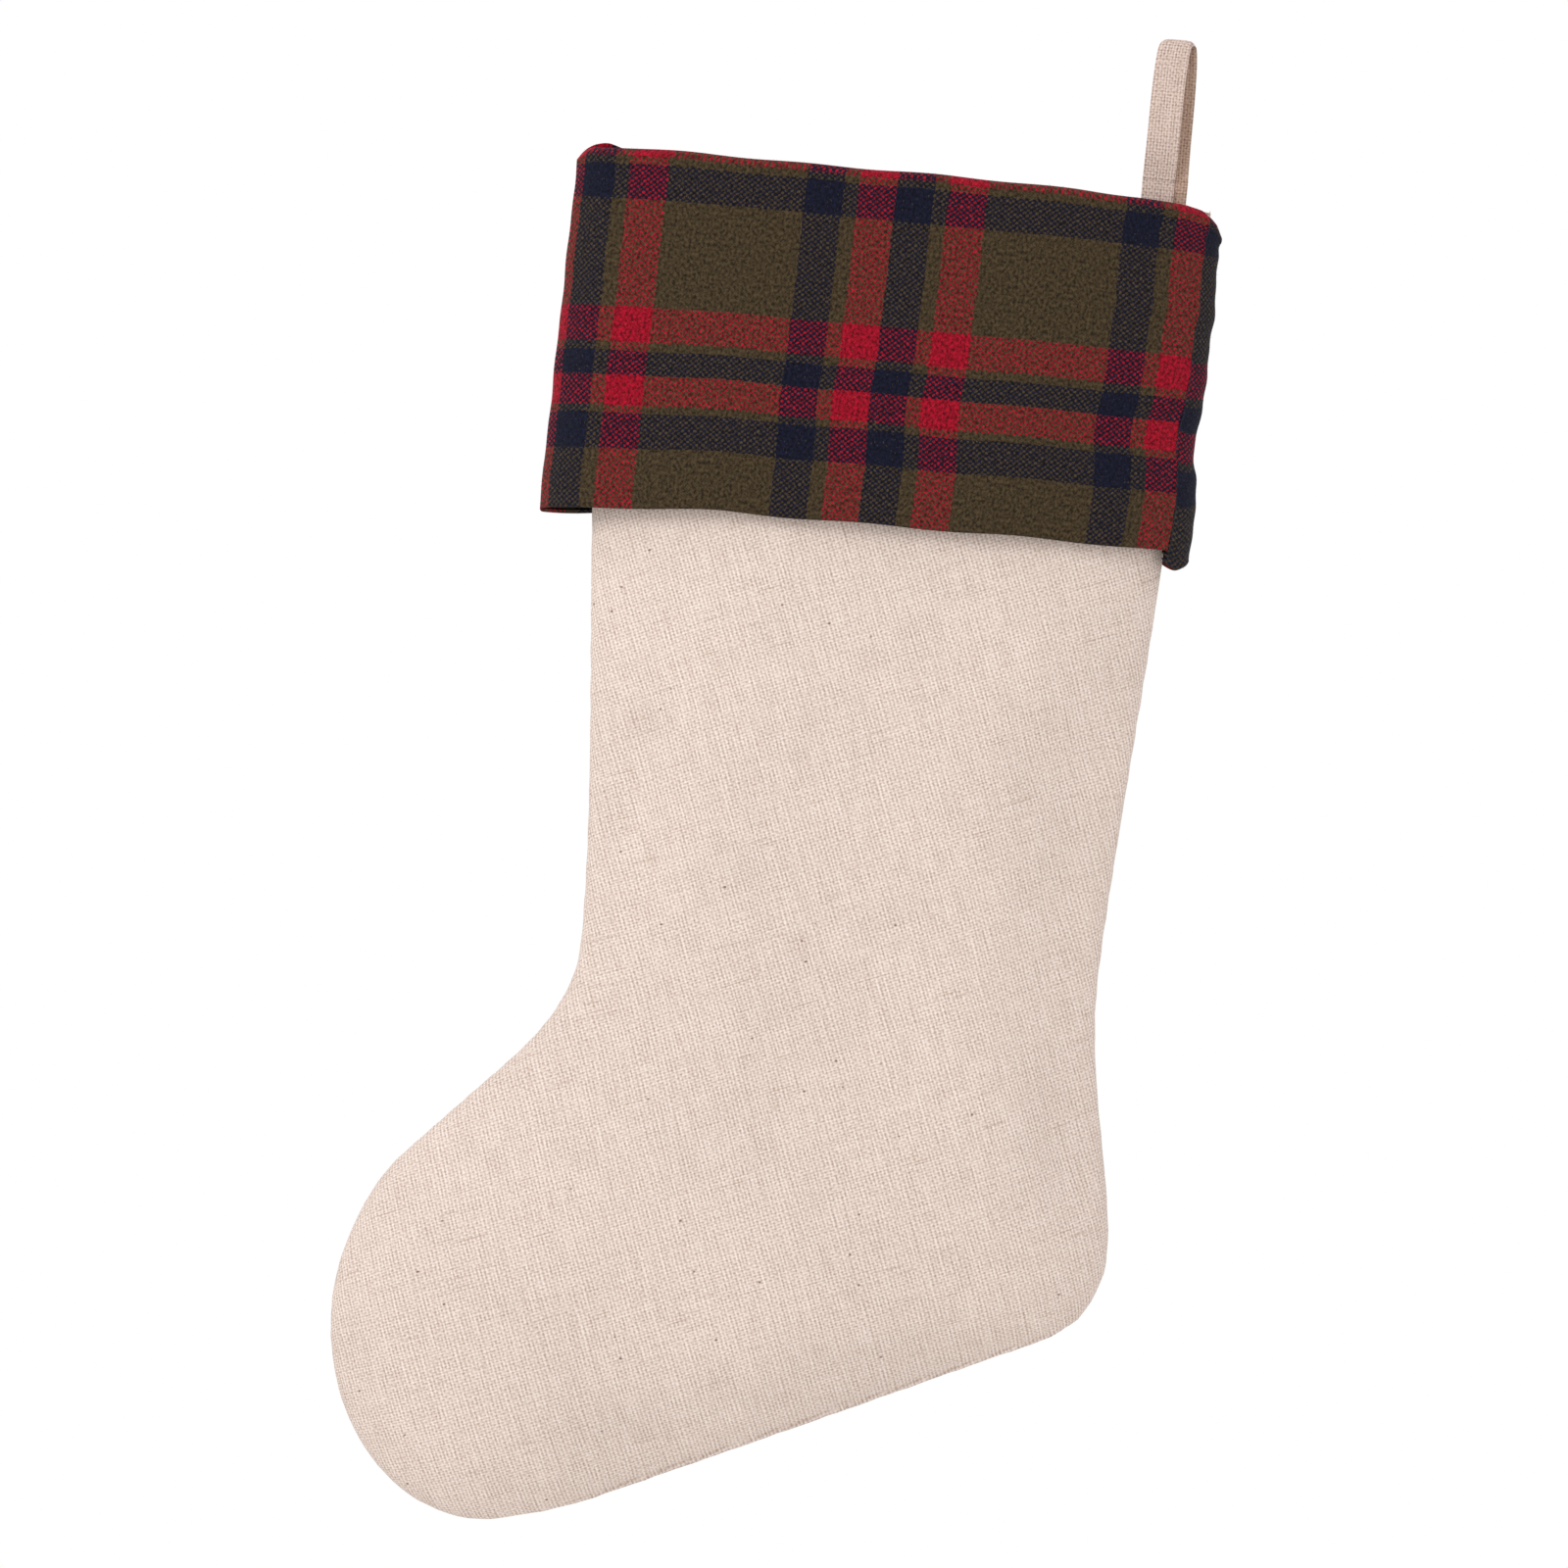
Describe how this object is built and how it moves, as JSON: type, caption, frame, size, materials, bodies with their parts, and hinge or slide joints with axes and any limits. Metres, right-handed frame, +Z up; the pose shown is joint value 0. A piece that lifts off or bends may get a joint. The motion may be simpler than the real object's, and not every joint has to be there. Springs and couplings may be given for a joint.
{
  "type": "hanging christmas stocking",
  "caption": "Padded linen stocking with a wide turned-down plaid cuff and a tape loop at its heel-side corner.",
  "frame": {"origin": "inside of the top of the hanging loop, where the hook holds it", "axes": "+Z up along the drop of the stocking, -Y to the front, the toe points to -X"},
  "size_m": [0.329, 0.0428, 0.5453],
  "materials": {
    "linen_canvas": "plain-woven natural linen canvas with slubs",
    "linen_tape": "folded and edge-stitched linen tape",
    "plaid_flannel": "brushed wool twill in olive, navy and red",
    "wadding": "needled polyester wadding",
    "cotton_lining": "plain cotton",
    "natural_thread": "spun polyester sewing thread",
    "dark_thread": "spun polyester sewing thread"
  },
  "bodies": {
    "hanging_loop": {"loop_tape_eye": "linen_tape"},
    "loop_neck": {"loop_tape_front_leg": "linen_tape", "loop_tape_rear_leg": "linen_tape"},
    "stocking": {"outer_front": "linen_canvas", "outer_back": "linen_canvas", "wadding_front": "wadding", "wadding_back": "wadding", "lining_front": "cotton_lining", "lining_back": "cotton_lining", "cuff_front": "plaid_flannel", "cuff_back": "plaid_flannel", "cuff_facing_front": "plaid_flannel", "cuff_facing_back": "plaid_flannel", "mouth_seam_thread_front": "dark_thread", "mouth_seam_thread_back": "dark_thread", "body_seam_thread": "natural_thread", "lining_seam_thread": "natural_thread", "cuff_seam_thread_toe_side": "dark_thread", "cuff_seam_thread_heel_side": "dark_thread", "loop_tape_sewn_end": "linen_tape", "loop_bar_tack": "natural_thread"}
  },
  "joints": [
    {"name": "loop_twist", "type": "hinge", "parent": "hanging_loop", "child": "loop_neck", "pos_m": [-0.00282, 0, -0.02987], "axis": [0, 0, 1], "range_deg": [-90, 90], "stiffness_Nm_per_rad": 0.004},
    {"name": "stocking_swing", "type": "hinge", "parent": "loop_neck", "child": "stocking", "pos_m": [-0.00508, 0, -0.05376], "axis": [0.9956, 0, -0.0941], "range_deg": [-70, 70]}
  ]
}
